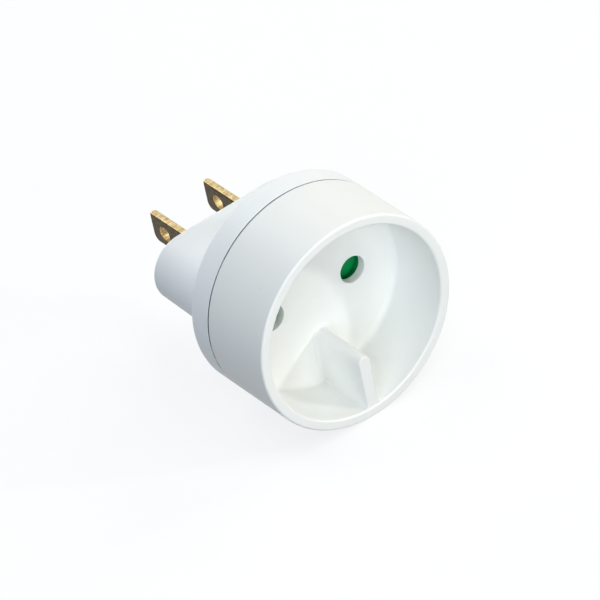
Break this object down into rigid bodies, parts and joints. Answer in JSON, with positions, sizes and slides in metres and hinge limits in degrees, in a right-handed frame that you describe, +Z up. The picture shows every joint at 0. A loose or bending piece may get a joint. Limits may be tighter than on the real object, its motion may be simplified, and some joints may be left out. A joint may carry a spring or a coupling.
{
  "type": "travel plug adapter",
  "caption": "Round travel adapter with a recessed shuttered socket for two round pins and a nose with two flat blades.",
  "frame": {"origin": "centre of the nose's end face, which meets the wall socket", "axes": "+Y into the wall, along the blades; +X along the row of pins, to the right for someone facing the wall; +Z up, with the recess's fin at the bottom"},
  "size_m": [0.0432, 0.0549, 0.0432],
  "materials": {
    "housing": "satin moulded white ABS",
    "nose_housing": "satin moulded off-white ABS",
    "shutter_plastic": "moulded green acetal",
    "retainer_plastic": "moulded natural nylon",
    "blade_brass": "dull rolled brass",
    "contact_bronze": "stamped phosphor bronze",
    "rivet_brass": "headed brass",
    "spring_steel": "drawn spring wire and strip",
    "screw_steel": "zinc-plated steel"
  },
  "bodies": {
    "housing": {"socket_shell": "housing", "plug_shell": "nose_housing", "shutter_spring": "spring_steel", "contact_retainer": "retainer_plastic", "contact_left": "contact_bronze", "contact_right": "contact_bronze", "contact_clip_left": "spring_steel", "contact_clip_right": "spring_steel", "blade_left": "blade_brass", "blade_right": "blade_brass", "rivet_left": "rivet_brass", "rivet_right": "rivet_brass", "screw_top": "screw_steel", "screw_bottom": "screw_steel"},
    "shutter": {"shutter": "shutter_plastic"}
  },
  "joints": [
    {"name": "shutter_slide", "type": "slide", "parent": "housing", "child": "shutter", "axis": [0, 0, -1], "range_m": [0, 0.0064], "stiffness_N_per_m": 120, "springref_m": -0.003, "deforming": ["shutter_spring"]}
  ]
}
